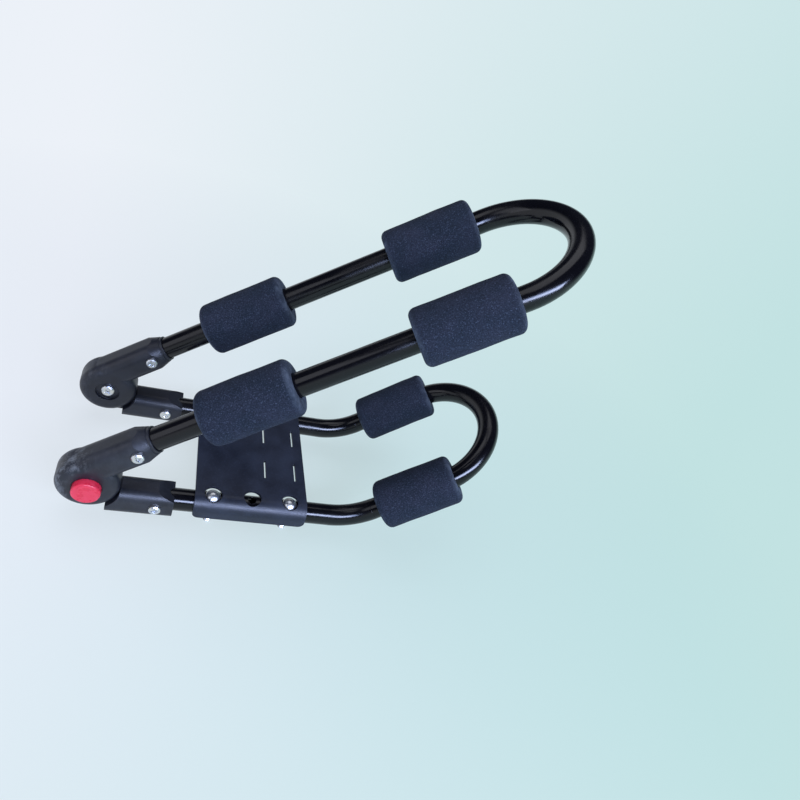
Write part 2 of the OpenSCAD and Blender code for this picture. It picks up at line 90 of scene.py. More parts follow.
# %% [markdown]
# ## Helpers for the finishes
# A material is a small network of nodes. Adding a node by hand means naming its type, filling its
# sockets and drawing its links, so one function does all three, for every kind of node. It gives
# back one of the node's outputs, which can be handed straight to the next node.
# Colours are written as the hex values that a paint or a screen shows. Blender computes in linear
# light, so one function turns them over, and a hex value that is handed to a node passes it too.

# %% Colour and node helpers
SRGB_KNEE = 0.04045


def linear(hex_colour):
    """Linear RGBA of an sRGB colour written as #rrggbb."""
    shares = [int(hex_colour[i:i + 2], 16) / 255 for i in (1, 3, 5)]
    return [c / 12.92 if c <= SRGB_KNEE else ((c + 0.055) / 1.055) ** 2.4 for c in shares] + [1.0]


def add_node(tree, kind, inputs=None, out=0, **settings):
    """Adds a node, sets it, fills or links its inputs, and gives one of its outputs back."""
    node = tree.nodes.new("ShaderNode" + kind)
    for name, value in settings.items():
        setattr(node, name, value)
    for name, value in (inputs or {}).items():
        if isinstance(value, bpy.types.NodeSocket):
            tree.links.new(value, node.inputs[name])
        else:
            node.inputs[name].default_value = linear(value) if isinstance(value, str) else value
    return node.outputs[out]


print("#808080 in linear light:", round(linear("#808080")[0], 3))

# %% [markdown]
# Every finish starts with one Principled shader and ends with patterns linked to its colour, its
# roughness and its normal. A pattern reads Object coordinates, which are metres on the piece, so
# its scale follows from a size in millimetres and no pattern stretches where a mesh is uneven.

# %% Start and end of a finish
def per_mm(size):
    """Scale of a pattern whose features are this many millimetres across."""
    return 1 / (size * MM)


def new_finish(name, colour, **constants):
    """A material with one Principled shader, whose constants are set on its own sockets."""
    material = bpy.data.materials.new(name)
    material.use_nodes = True
    tree = material.node_tree
    shader = tree.nodes["Principled BSDF"]
    shader.inputs["Base Color"].default_value = linear(colour)
    for socket, value in constants.items():
        shader.inputs[socket.replace("_", " ")].default_value = value
    return material, tree, shader, add_node(tree, "TexCoord", out="Object")


def link_patterns(tree, shader, patterns):
    """Links patterns to the sockets of a shader that they drive."""
    for socket, pattern in patterns.items():
        tree.links.new(pattern, shader.inputs[socket])


print("Scale of a pattern of 2 mm:", per_mm(2))

# %% [markdown]
# ## Gloss enamel on the steel tubes
# The tubes are bent first and then stoved with black enamel. It flows into a smooth film, so lamps
# show as long sharp streaks, and its thickness wavers slightly, which painters call orange peel.
# Real orange peel is a millimetre or two across and would not show from here, so it is drawn
# coarser. Handling leaves a thin film of dust that dulls the gloss in patches.
# A flat black with a low roughness would show the streaks but look like glass, so the roughness
# and the height get patterns of their own. A Bevel node rounds the sharp edges for the light
# alone, which leaves the mesh as it is.

# %% Gloss enamel
DUST_FILM_MM = 34
DUST_GRIT_MM = 2.2
ORANGE_PEEL_MM = 9
EDGE_SAMPLES = 4


def gloss_enamel():
    material, tree, shader, place = new_finish(
        "gloss_black_enamel", "#0a0a10", IOR=1.41, Metallic=0.0)
    clouds = add_node(tree, "TexNoise", {
        "Vector": place, "Scale": per_mm(DUST_FILM_MM), "Detail": 4})
    film = add_node(tree, "MapRange", {"Value": clouds, "From Min": 0.42, "From Max": 0.7})
    specks = add_node(tree, "TexNoise", {
        "Vector": place, "Scale": per_mm(DUST_GRIT_MM), "Detail": 3, "Roughness": 0.7})
    grit = add_node(tree, "MapRange", {"Value": specks, "From Min": 0.52, "From Max": 0.78})
    dust = add_node(tree, "Math", {0: film, 1: grit}, operation="MULTIPLY")
    colour = add_node(tree, "Mix", {0: dust, 6: "#0a0a10", 7: "#212027"}, 2, data_type="RGBA")
    roughness = add_node(tree, "MapRange", {"Value": film, "To Min": 0.13, "To Max": 0.26})
    peel = add_node(tree, "TexNoise", {
        "Vector": place, "Scale": per_mm(ORANGE_PEEL_MM), "Detail": 1})
    edge = add_node(tree, "Bevel", {"Radius": 0.8 * MM}, samples=EDGE_SAMPLES)
    relief = add_node(tree, "Bump", {"Height": peel, "Distance": 0.012 * MM, "Normal": edge})
    link_patterns(tree, shader, {
        "Base Color": colour, "Roughness": roughness, "Normal": relief})
    return material


enamel = gloss_enamel()
print("Finish:", enamel.name)

# %% [markdown]
# ## Powder coat on the bracket
# The bracket is pressed from sheet steel and powder coated. The powder melts into a satin film
# with a fine even grain, so the light spreads into a soft band along the rolled edges instead of
# a streak. The grain is a tenth of a millimetre on the real sheet and would not show at this
# distance, so it is drawn coarser.

# %% Powder coat
POWDER_CLOUD_MM = 26
POWDER_GRAIN_MM = 1.3


def powder_coat():
    material, tree, shader, place = new_finish(
        "satin_black_powder_coat", "#1f2636", IOR=1.42, Metallic=0.0)
    cloud = add_node(tree, "TexNoise", {
        "Vector": place, "Scale": per_mm(POWDER_CLOUD_MM), "Detail": 4})
    grain = add_node(tree, "TexNoise", {
        "Vector": place, "Scale": per_mm(POWDER_GRAIN_MM), "Detail": 2, "Roughness": 0.7})
    share = add_node(tree, "MapRange", {"Value": cloud, "From Min": 0.35, "From Max": 0.7})
    tone = add_node(tree, "Mix", {0: share, 6: "#1a2030", 7: "#272f43"}, 2, data_type="RGBA")
    speck = add_node(tree, "MapRange", {
        "Value": grain, "From Min": 0.55, "From Max": 0.75, "To Max": 0.5})
    colour = add_node(tree, "Mix", {0: speck, 6: tone, 7: "#3a445c"}, 2, data_type="RGBA")
    roughness = add_node(tree, "MapRange", {
        "Value": cloud, "From Min": 0.3, "From Max": 0.7, "To Min": 0.36, "To Max": 0.48})
    edge = add_node(tree, "Bevel", {"Radius": 0.4 * MM}, samples=EDGE_SAMPLES)
    relief = add_node(tree, "Bump", {"Height": grain, "Distance": 0.05 * MM, "Normal": edge})
    link_patterns(tree, shader, {
        "Base Color": colour, "Roughness": roughness, "Normal": relief})
    return material


powder = powder_coat()
print("Finish:", powder.name)

# %% [markdown]
# ## Glass-filled nylon on the hinge housings
# The housings are injection moulded from black nylon with glass fibre in it. The mould is finely
# eroded, which gives a satin surface. Knocks leave pale scuffs where the round heads stick out,
# because scratched glass fibre is lighter than the nylon.
# The scuffs could be painted on by hand. Here they are a pattern that follows the shape: it only
# shows past a certain distance from the hinge pin, and it fades towards the sleeves and towards
# the left hinge, which is less worn.

# %% Scuffs on the housings
SCUFF_FROM_MM = 17
SCUFF_FULL_MM = 25
SCUFF_MARK_MM = 8
SCUFF_STRETCH = (1, 1, 0.45)


def scuff_share(tree, place):
    """How scuffed a point is: the marks, times how exposed it is to knocks."""
    from_pin = add_node(tree, "VectorMath", {0: place, 1: PIN}, operation="SUBTRACT")
    flat = add_node(tree, "VectorMath", {0: from_pin, 1: (1, 0, 1)}, operation="MULTIPLY")
    distance = add_node(tree, "VectorMath", {0: flat}, "Value", operation="LENGTH")
    rim = add_node(tree, "MapRange", {
        "Value": distance, "From Min": SCUFF_FROM_MM * MM, "From Max": SCUFF_FULL_MM * MM,
        "To Min": 0.12, "To Max": 1})
    tip = add_node(tree, "MapRange", {
        "Value": add_node(tree, "SeparateXYZ", {"Vector": from_pin}, "X"),
        "From Min": -18 * MM, "From Max": 2 * MM, "To Min": 1, "To Max": 0.06})
    right_side = add_node(tree, "MapRange", {
        "Value": add_node(tree, "SeparateXYZ", {"Vector": from_pin}, "Y"),
        "From Min": -10 * MM, "From Max": 10 * MM, "To Min": 1, "To Max": 0.2})
    outer_end = add_node(tree, "Math", {0: rim, 1: tip}, operation="MULTIPLY")
    exposed = add_node(tree, "Math", {0: outer_end, 1: right_side}, operation="MULTIPLY")
    stretched = add_node(tree, "Mapping", {"Vector": place, "Scale": SCUFF_STRETCH})
    scratches = add_node(tree, "TexNoise", {
        "Vector": stretched, "Scale": per_mm(SCUFF_MARK_MM), "Detail": 10, "Roughness": 0.8})
    marks = add_node(tree, "MapRange", {
        "Value": scratches, "From Min": 0.47, "From Max": 0.62, "To Max": 0.9})
    return add_node(tree, "Math", {0: marks, 1: exposed}, operation="MULTIPLY")


print("Scuffs start", SCUFF_FROM_MM, "mm off the pin and are full at", SCUFF_FULL_MM, "mm")

# %% [markdown]
# The nylon itself is a dark blue black with a fine grain. A scuff does two things to it: it makes
# the colour paler and the surface duller, so the same share goes into both.

# %% Glass-filled nylon
NYLON_CLOUD_MM = 18
NYLON_GRAIN_MM = 0.9


def glass_filled_nylon():
    material, tree, shader, place = new_finish(
        "glass_filled_nylon", "#191c26", IOR=1.46, Metallic=0.0)
    scuff = scuff_share(tree, place)
    cloud = add_node(tree, "TexNoise", {
        "Vector": place, "Scale": per_mm(NYLON_CLOUD_MM), "Detail": 3})
    grain = add_node(tree, "TexNoise", {
        "Vector": place, "Scale": per_mm(NYLON_GRAIN_MM), "Detail": 2, "Roughness": 0.7})
    share = add_node(tree, "MapRange", {"Value": cloud, "From Min": 0.35, "From Max": 0.7})
    tone = add_node(tree, "Mix", {0: share, 6: "#171a26", 7: "#212532"}, 2, data_type="RGBA")
    colour = add_node(tree, "Mix", {0: scuff, 6: tone, 7: "#7c828c"}, 2, data_type="RGBA")
    satin = add_node(tree, "MapRange", {
        "Value": cloud, "From Min": 0.3, "From Max": 0.7, "To Min": 0.38, "To Max": 0.48})
    dulled = add_node(tree, "Math", {0: scuff, 1: 0.2}, operation="MULTIPLY")
    roughness = add_node(tree, "Math", {0: satin, 1: dulled}, operation="ADD")
    edge = add_node(tree, "Bevel", {"Radius": 1.0 * MM}, samples=EDGE_SAMPLES)
    relief = add_node(tree, "Bump", {"Height": grain, "Distance": 0.03 * MM, "Normal": edge})
    link_patterns(tree, shader, {
        "Base Color": colour, "Roughness": roughness, "Normal": relief})
    return material


nylon = glass_filled_nylon()
print("Finish:", nylon.name)

# %% [markdown]
# ## Moulded red plastic on the push buttons
# The buttons are moulded from a coloured acetal. The pigment goes right through, so wear doesn't
# change its colour, and the skin is smooth enough to hold a soft highlight on the rounded rim.
# One flat colour would look painted, so two reds that are nearly the same drift into each other.

# %% Red acetal
ACETAL_CLOUD_MM = 6
ACETAL_SKIN_MM = 1.0


def red_acetal():
    material, tree, shader, place = new_finish("red_acetal", "#ee3556", IOR=1.48, Metallic=0.0)
    cloud = add_node(tree, "TexNoise", {
        "Vector": place, "Scale": per_mm(ACETAL_CLOUD_MM), "Detail": 4})
    skin = add_node(tree, "TexNoise", {
        "Vector": place, "Scale": per_mm(ACETAL_SKIN_MM), "Detail": 2})
    share = add_node(tree, "MapRange", {"Value": cloud, "From Min": 0.35, "From Max": 0.7})
    colour = add_node(tree, "Mix", {0: share, 6: "#ea2b4c", 7: "#f23f61"}, 2, data_type="RGBA")
    roughness = add_node(tree, "MapRange", {
        "Value": cloud, "From Min": 0.3, "From Max": 0.7, "To Min": 0.24, "To Max": 0.34})
    edge = add_node(tree, "Bevel", {"Radius": 0.7 * MM}, samples=EDGE_SAMPLES)
    relief = add_node(tree, "Bump", {"Height": skin, "Distance": 0.01 * MM, "Normal": edge})
    link_patterns(tree, shader, {
        "Base Color": colour, "Roughness": roughness, "Normal": relief})
    return material


red = red_acetal()
print("Finish:", red.name)

# %% [markdown]
# ## Zinc plating on bolts, screws and hinge parts
# Zinc is plated on in a bath and then passivated, which leaves a bright grey metal with a faint
# blue and yellow bloom. It is a metal, so it is metallic all through and its colour is the colour
# of its reflection. Its default index of refraction stays as it is.

# %% Zinc plate
ZINC_BLOOM_MM = 5
ZINC_GRAIN_MM = 0.8


def zinc_plate():
    material, tree, shader, place = new_finish("zinc_plated_steel", "#c8cbd0", Metallic=1.0)
    bloom = add_node(tree, "TexNoise", {
        "Vector": place, "Scale": per_mm(ZINC_BLOOM_MM), "Detail": 3})
    grain = add_node(tree, "TexNoise", {
        "Vector": place, "Scale": per_mm(ZINC_GRAIN_MM), "Detail": 2})
    share = add_node(tree, "MapRange", {"Value": bloom, "From Min": 0.35, "From Max": 0.65})
    colour = add_node(tree, "Mix", {0: share, 6: "#ccd1da", 7: "#e0ddd4"}, 2, data_type="RGBA")
    roughness = add_node(tree, "MapRange", {
        "Value": grain, "From Min": 0.3, "From Max": 0.7, "To Min": 0.24, "To Max": 0.4})
    edge = add_node(tree, "Bevel", {"Radius": 0.2 * MM}, samples=EDGE_SAMPLES)
    relief = add_node(tree, "Bump", {"Height": grain, "Distance": 0.01 * MM, "Normal": edge})
    link_patterns(tree, shader, {
        "Base Color": colour, "Roughness": roughness, "Normal": relief})
    return material


zinc = zinc_plate()
print("Finish:", zinc.name)

# %% [markdown]
# ## Closed-cell foam on the pads
# The pads are slices of a foam hose made from nitrile rubber. The knife or the mould leaves a
# matt skin of tiny cells, half a millimetre across. Their colour holds painted light: painted
# shade in each low pit and a painted highlight on each raised rim, on the same pattern as the
# bump. They are what makes foam look like foam, so they are drawn at twice their size to show
# at this distance.
# The rounded ends are painted paler in patches, a painted highlight where the light catches
# their rounding. Where they are is written into each pad as it is modelled, and the finish looks
# it up by name.

# %% Closed-cell foam
CELL_MM = 1.1
FOAM_CLOUD_MM = 22
# Patch size and attribute name of the painted highlight on the rounded ends.
END_HIGHLIGHT_PATCH_MM = 13
END_HIGHLIGHT_ATTRIBUTE = "painted_end_highlight"


def closed_cell_foam():
    material, tree, shader, place = new_finish(
        "closed_cell_foam", "#17233b", IOR=1.4, Metallic=0.0, Roughness=0.95,
        Specular_IOR_Level=0.35)
    cells = add_node(tree, "TexVoronoi", {"Vector": place, "Scale": per_mm(CELL_MM)}, "Distance")
    grain = add_node(tree, "TexNoise", {
        "Vector": place, "Scale": per_mm(CELL_MM), "Detail": 2, "Roughness": 0.8})
    cloud = add_node(tree, "TexNoise", {
        "Vector": place, "Scale": per_mm(FOAM_CLOUD_MM), "Detail": 4})
    share = add_node(tree, "MapRange", {"Value": cloud, "From Min": 0.35, "From Max": 0.7})
    tone = add_node(tree, "Mix", {0: share, 6: "#182334", 7: "#252b3e"}, 2, data_type="RGBA")
    # Painted shade in the cells' low pits and a painted highlight on their raised rims.
    skin = add_node(tree, "MapRange", {"Value": grain, "From Min": 0.3, "From Max": 0.46})
    painted_pit_shade = add_node(tree, "Mix", {0: skin, 6: "#0a101b", 7: tone}, 2, data_type="RGBA")
    painted_rim_highlight = add_node(tree, "MapRange", {
        "Value": grain, "From Min": 0.56, "From Max": 0.74, "To Max": 0.8})
    cells_with_painted_light = add_node(tree, "Mix", {0: painted_rim_highlight, 6: painted_pit_shade, 7: "#515d79"}, 2, data_type="RGBA")
    # A painted highlight on the pad's rounded ends, pale and broken into patches.
    end_highlight_share = add_node(tree, "Attribute", out="Fac", attribute_name=END_HIGHLIGHT_ATTRIBUTE)
    blotches = add_node(tree, "TexNoise", {
        "Vector": place, "Scale": per_mm(END_HIGHLIGHT_PATCH_MM), "Detail": 5, "Roughness": 0.65})
    patches = add_node(tree, "MapRange", {
        "Value": blotches, "From Min": 0.42, "From Max": 0.62, "To Min": 0.15, "To Max": 0.8})
    patchy_end_highlight = add_node(tree, "Math", {0: end_highlight_share, 1: patches}, operation="MULTIPLY")
    colour = add_node(tree, "Mix", {0: patchy_end_highlight, 6: cells_with_painted_light, 7: "#5f6c82"}, 2, data_type="RGBA")
    height = add_node(tree, "Math", {0: cells, 1: grain}, operation="ADD")
    relief = add_node(tree, "Bump", {"Height": height, "Distance": 0.15 * MM})
    link_patterns(tree, shader, {"Base Color": colour, "Normal": relief})
    return material


foam = closed_cell_foam()
print("Finish:", foam.name, "with cells drawn", CELL_MM, "mm across")

# %% [markdown]
# ## Give the rigid pieces their finishes
# Every rigid piece of the frame is already shaped, so it only gets a material. The record names a
# material slot for each piece, and the table here says which finish a slot stands for.

# %% Finishes on the frame
FINISHES = {
    "black_enamel": enamel,
    "black_powder_coat": powder,
    "black_nylon": nylon,
    "red_plastic": red,
    "zinc_steel": zinc,
    "foam": foam,
}
slots = {part["node"]: part["material_slot"] for part in frame["record"]["subparts"]}
for name, node in frame["nodes"].items():
    node.data.materials.clear()
    node.data.materials.append(FINISHES[slots[name]])
print("Pieces with a finish:", len(slots))

# %% [markdown]
# ## The foam pads
# A pad is a short length of foam hose pushed over the tube. Its cut ends are worn round and it is
# never quite straight, because the foam is squeezed and stretched as it goes on.
# It starts as a cylinder. The ends are inset and bridged into a bore, the outer edges are
# bevelled, and the wall is cut into rings, so that soft noise can push it in and out a little. A
# cloth simulation would also round the ends, but foam this firm keeps its shape, so modelling it
# is quicker and truer.

# %% Measure a pad in the frame
def measure_pad(node, along):
    """Middle, length and outer radius of a round solid that lies along a direction."""
    points = [vertex.co for vertex in frame["nodes"][node].data.vertices]
    reach = [point.dot(along) for point in points]
    low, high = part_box(node)
    middle = (low + high) / 2
    middle += along * ((max(reach) + min(reach)) / 2 - middle.dot(along))
    radius = max((point - middle).cross(along).length for point in points)
    return middle, max(reach) - min(reach), radius


print("A pad's length and radius in mm:",
      [round(size / MM, 1) for size in measure_pad("right_first_foam", UPPER_ARM)[1:]])

# %% [markdown]
# By hand, the edges to bevel would be clicked. In a script they are found by where they lie: an
# edge belongs to a rim if it runs round the axis, at the rim's radius, at one end of the pad.

# %% Find edges and faces by their place
RIM_TOLERANCE = 0.2 * MM


def select_in_edit(mesh, choose_edges=None, choose_faces=None):
    """Selects, in edit mode, the edges or faces that a test picks."""
    form = bmesh.from_edit_mesh(mesh)
    for group in (form.verts, form.edges, form.faces):
        for item in group:
            item.select = False
    if choose_edges:
        bpy.ops.mesh.select_mode(type="EDGE")
        for edge in form.edges:
            edge.select_set(choose_edges(edge))
    if choose_faces:
        bpy.ops.mesh.select_mode(type="FACE")
        for face in form.faces:
            face.select_set(choose_faces(face))
    bmesh.update_edit_mesh(mesh)


def span(edge):
    """Middle of an edge and the vector along it."""
    first, second = (vertex.co for vertex in edge.verts)
    return (first + second) / 2, second - first


def lies_at(edge, radius, height):
    """Whether an edge runs round the axis at this radius, at one end of the pad."""
    middle, run = span(edge)
    return (abs(abs(middle.z) - height) < RIM_TOLERANCE and abs(run.z) < RIM_TOLERANCE
            and abs(middle.xy.length - radius) < RIM_TOLERANCE)


print("A rim may lie", RIM_TOLERANCE / MM, "mm off its radius")

# %% [markdown]
# Now the pad itself, upright and in the middle of the scene. The end caps are inset as far as the
# bore and taken out, and the two holes that are left are bridged, which makes a hose. Then the
# mouth of the bore and the outer rim are rounded, and the long edges of the wall are subdivided.

# %% Model a pad
PAD_SIDES = 96
PAD_RINGS = 22
BORE_RADIUS = 11.2 * MM
END_ROUNDING = 6.5 * MM
MOUTH_ROUNDING = 1.0 * MM
FACING_AN_END = 0.9


def make_pad(name, length, radius):
    bpy.ops.mesh.primitive_cylinder_add(vertices=PAD_SIDES, radius=radius, depth=length)
    pad = bpy.context.object
    pad.name = pad.data.name = name
    half = length / 2
    bpy.ops.object.mode_set(mode="EDIT")
    select_in_edit(pad.data, choose_faces=lambda face: abs(face.normal.z) > FACING_AN_END)
    bpy.ops.mesh.inset(thickness=radius - BORE_RADIUS)
    bpy.ops.mesh.delete(type="ONLY_FACE")
    select_in_edit(pad.data, choose_edges=lambda edge: edge.is_boundary)
    bpy.ops.mesh.bridge_edge_loops(number_cuts=PAD_RINGS)
    select_in_edit(pad.data, choose_edges=lambda edge: lies_at(edge, BORE_RADIUS, half))
    bpy.ops.mesh.bevel(offset=MOUTH_ROUNDING, segments=3)
    select_in_edit(pad.data, choose_edges=lambda edge: lies_at(edge, radius, half))
    bpy.ops.mesh.bevel(offset=END_ROUNDING, segments=9)
    select_in_edit(pad.data, choose_edges=lambda edge: abs(span(edge)[1].z) > half)
    bpy.ops.mesh.subdivide(number_cuts=PAD_RINGS)
    bpy.ops.mesh.select_all(action="SELECT")
    bpy.ops.mesh.normals_make_consistent(inside=False)
    bpy.ops.object.mode_set(mode="OBJECT")
    return pad


trial = make_pad("trial_pad", 87 * MM, 26 * MM)
print("Faces of a pad before smoothing:", len(trial.data.polygons))
bpy.data.objects.remove(trial)

# %% [markdown]
# Every pad gets its own lumps. The noise is laid through space and the pad is already in its
# place when it is displaced, so no two pads meet the same part of it. Only the outer skin moves:
# a vertex group keeps the bore on the tube. The finish asks how near each point lies to a rounded
# end, so that share is written into the mesh too.

# %% Lumps, skin and modifiers
LUMP_SIZE = 34 * MM
LUMP_DEPTH = 1.1 * MM
RIPPLE_SIZE = 7 * MM
RIPPLE_DEPTH = 0.25 * MM
FIRM_WALL = 3 * MM


def soft_noise(name, size):
    texture = bpy.data.textures.new(name, "CLOUDS")
    texture.noise_scale = size
    texture.noise_depth = 1
    return texture


lumps = soft_noise("lumps", LUMP_SIZE)
ripples = soft_noise("ripples", RIPPLE_SIZE)


def skin_weight(point, middle, along, radius):
    """How far a point may move: all the way on the skin, not at all in the bore."""
    firm_radius = BORE_RADIUS + FIRM_WALL
    off_axis = (point - middle).cross(along).length
    return min(1.0, max(0.0, (off_axis - firm_radius) / (radius - firm_radius)))


def apply_modifiers(piece):
    bpy.ops.object.select_all(action="DESELECT")
    piece.select_set(True)
    bpy.context.view_layer.objects.active = piece
    for modifier in list(piece.modifiers):
        bpy.ops.object.modifier_apply(modifier=modifier.name)


print("Lumps of", round(LUMP_SIZE / MM), "mm and ripples of", round(RIPPLE_SIZE / MM), "mm")

# %% [markdown]
# A pad takes the place and size of its solid and follows the body of its tube. Its lumps stand out
# a little, so it starts a little smaller. One level of subdivision rounds what is left of the
# facets, and then every modifier is applied, so that the finished mesh is plain.

# %% Put the pads on their tubes
# How far from each end the painted highlight reaches.
END_HIGHLIGHT_DEPTH = 5 * MM
LENGTH_FOR_LUMPS = 0.8 * MM
RADIUS_FOR_LUMPS = 0.4 * MM


def place_pad(node, body, along):
    """Models a pad in the place of its solid, a little smaller, so that its lumps have room."""
    middle, length, radius = measure_pad(node, along)
    pad = make_pad(node + "_pad", length - LENGTH_FOR_LUMPS, radius - RADIUS_FOR_LUMPS)
    turn = Vector((0, 0, 1)).rotation_difference(along).to_matrix().to_4x4()
    pad.data.transform(Matrix.Translation(middle) @ turn)
    skin = pad.vertex_groups.new(name="skin")
    for vertex in pad.data.vertices:
        skin.add([vertex.index], skin_weight(vertex.co, middle, along, radius), "REPLACE")
    # How near each point lies to an end, for the painted highlight there.
    from_end = [length / 2 - abs((vertex.co - middle).dot(along)) for vertex in pad.data.vertices]
    end_highlight_share = pad.data.attributes.new(END_HIGHLIGHT_ATTRIBUTE, "FLOAT", "POINT")
    end_highlight_share.data.foreach_set("value", [max(0.0, 1 - depth / END_HIGHLIGHT_DEPTH) for depth in from_end])
    for texture, depth in ((lumps, LUMP_DEPTH), (ripples, RIPPLE_DEPTH)):
        push = pad.modifiers.new(texture.name, "DISPLACE")
        push.texture = texture
        push.texture_coords = "LOCAL"
        push.vertex_group = "skin"
        push.strength = depth
        push.mid_level = 0.5
    smooth = pad.modifiers.new("smooth", "SUBSURF")
    smooth.levels = smooth.render_levels = 1
    apply_modifiers(pad)
    bpy.ops.object.shade_smooth()
    pad.data.materials.append(foam)
    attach(pad, body)
    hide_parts(node)
    return pad


PADS = {
    "right_first_foam": ("arm", UPPER_ARM),
    "right_second_foam": ("arm", UPPER_ARM),
    "left_first_foam": ("arm", UPPER_ARM),
    "left_second_foam": ("arm", UPPER_ARM),
    "right_lower_foam": ("base", LOWER_END),
    "left_lower_foam": ("base", LOWER_END),
}
pads = [place_pad(node, body, along) for node, (body, along) in PADS.items()]
print("Pads:", len(pads), "with", len(pads[0].data.polygons), "faces each")

# %% [markdown]
# ## The mounting bolts
# Four domed steel bolts stand in the bracket's access holes and go down through the tube. The
# underside of the head is hollowed to sit on the round tube, and a rolled thread runs up from the
# tip. The frame holds each thread as a plain cylinder, because a simulation needs no more, but a
# plain cylinder reads as a peg.
# A thread could be a bump in the material, but its outline would stay straight. So the bolts are
# turned as on a lathe. One point is extruded into a profile, and a Screw modifier sweeps that
# round the axis. For the thread the profile is a small ridge that climbs one pitch in each turn.

# %% Turn a profile
LATHE_STEPS = 40
SEAM_DISTANCE = 0.001 * MM


def draw_profile(name, profile, closed):
    """Extrudes one point into a profile of radii and heights, in the plane of X and Z."""
    points = [Vector((radius, 0, height)) for radius, height in profile]
    bpy.ops.mesh.primitive_plane_add(size=MM)
    piece = bpy.context.object
    piece.name = piece.data.name = name
    bpy.ops.object.mode_set(mode="EDIT")
    bpy.ops.mesh.select_mode(type="VERT")
    bpy.ops.mesh.select_all(action="SELECT")
    bpy.ops.mesh.merge(type="CENTER")
    bpy.ops.transform.translate(value=points[0])
    for first, second in zip(points, points[1:]):
        bpy.ops.mesh.extrude_vertices_move(TRANSFORM_OT_translate={"value": second - first})
    if closed:
        form = bmesh.from_edit_mesh(piece.data)
        for vertex in form.verts:
            vertex.select_set(len(vertex.link_edges) == 1)
        bpy.ops.mesh.edge_face_add()
    bpy.ops.object.mode_set(mode="OBJECT")
    return piece


def turn_profile(name, profile, turns=1, climb=0.0):
    """Sweeps a profile round Z. One that climbs is closed to a loop, and its ends are filled."""
    piece = draw_profile(name, profile, closed=climb > 0)
    lathe = piece.modifiers.new("lathe", "SCREW")
    lathe.steps = lathe.render_steps = LATHE_STEPS
    lathe.iterations = turns
    lathe.screw_offset = climb
    lathe.use_merge_vertices = True
    lathe.merge_threshold = SEAM_DISTANCE
    apply_modifiers(piece)
    bpy.ops.object.mode_set(mode="EDIT")
    bpy.ops.mesh.select_all(action="SELECT")
    bpy.ops.mesh.fill_holes(sides=len(profile))
    bpy.ops.mesh.normals_make_consistent(inside=False)
    bpy.ops.object.mode_set(mode="OBJECT")
    return piece


trial = turn_profile("trial_pin", [(0, 0), (MM, 0), (MM, MM), (0, MM)])
print("A pin turned from four points has", len(trial.data.vertices), "points")
bpy.data.objects.remove(trial)

# %% [markdown]
# The head is a low dome on a short skirt. Its hollow is cut by a cylinder as thick as the tube,
# which a Boolean modifier takes away from it. Moving the lower points of the head by hand would
# be the other way, but then its rim wouldn't follow the tube exactly.

# %% Head of a bolt
HEAD_RADIUS = 7.8 * MM
HEAD_HEIGHT = 5.5 * MM
HEAD_SKIRT = 2.5 * MM
DOME_POINTS = 10
SADDLE_RADIUS = 11.05 * MM
SADDLE_SIDES = 128


def dome_profile(top):
    """Points of a round dome from its rim to its top."""
    dome_radius = (HEAD_RADIUS ** 2 + HEAD_HEIGHT ** 2) / (2 * HEAD_HEIGHT)
    reach = math.asin(HEAD_RADIUS / dome_radius)
    angles = [reach * (1 - i / DOME_POINTS) for i in range(DOME_POINTS + 1)]
    return [(dome_radius * math.sin(a), top - dome_radius * (1 - math.cos(a))) for a in angles]


def make_head(top, tube_height):
    """A domed head, hollowed below by a tube that runs along X."""
    skirt = top - HEAD_HEIGHT - HEAD_SKIRT
    head = turn_profile("head", [(0, skirt), (HEAD_RADIUS, skirt)] + dome_profile(top))
    bpy.ops.mesh.primitive_cylinder_add(
        vertices=SADDLE_SIDES, radius=SADDLE_RADIUS, depth=4 * HEAD_RADIUS,
        location=(0, 0, tube_height), rotation=(0, math.pi / 2, 0))
    tube = bpy.context.object
    saddle = head.modifiers.new("saddle", "BOOLEAN")
    saddle.operation = "DIFFERENCE"
    saddle.object = tube
    apply_modifiers(head)
    bpy.data.objects.remove(tube)
    return head


print("The dome is drawn with", len(dome_profile(0)), "points")

# %% [markdown]
# The thread is metric: eight millimetres across, with ridges one and a quarter apart. The shank
# above it is a little thinner than the ridges, as on a bolt whose thread is rolled. The core and
# the ridge are turned one by one, because only the ridge climbs.

# %% Shank and thread
THREAD_PITCH = 1.25 * MM
THREAD_TURNS = 10
THREAD_LENGTH = 15 * MM
ROOT_RADIUS = 3.35 * MM
CREST_RADIUS = 3.98 * MM
RIDGE_SINK = 0.3 * MM
SHANK_RADIUS = 3.8 * MM
TIP_CHAMFER = 0.9 * MM


def make_shank(tip, top):
    """A chamfered core with a plain shank above it, up to the middle of the head."""
    return turn_profile("shank", [
        (0, tip), (ROOT_RADIUS - TIP_CHAMFER / 2, tip), (ROOT_RADIUS, tip + TIP_CHAMFER),
        (ROOT_RADIUS, tip + THREAD_LENGTH - THREAD_PITCH / 2), (SHANK_RADIUS, tip + THREAD_LENGTH),
        (SHANK_RADIUS, top - HEAD_SKIRT), (0, top - HEAD_SKIRT)])


def make_thread(start):
    """A ridge that climbs round the core and sinks into it a little, so that no gap shows."""
    return turn_profile("thread", [
        (ROOT_RADIUS - RIDGE_SINK, start), (ROOT_RADIUS, start),
        (CREST_RADIUS, start + THREAD_PITCH / 2), (ROOT_RADIUS, start + THREAD_PITCH),
        (ROOT_RADIUS - RIDGE_SINK, start + THREAD_PITCH)], THREAD_TURNS, THREAD_PITCH)


print("The thread is", round(THREAD_TURNS * THREAD_PITCH / MM, 1), "mm long")

# %% [markdown]
# The bolts stand where the solids have them. The middle of each is measured at its tip, because
# the heads are cut by the tube and their box isn't centred on them.

# %% Set the bolts in their places
TUBE_BEND_RADIUS = 11.1 * MM


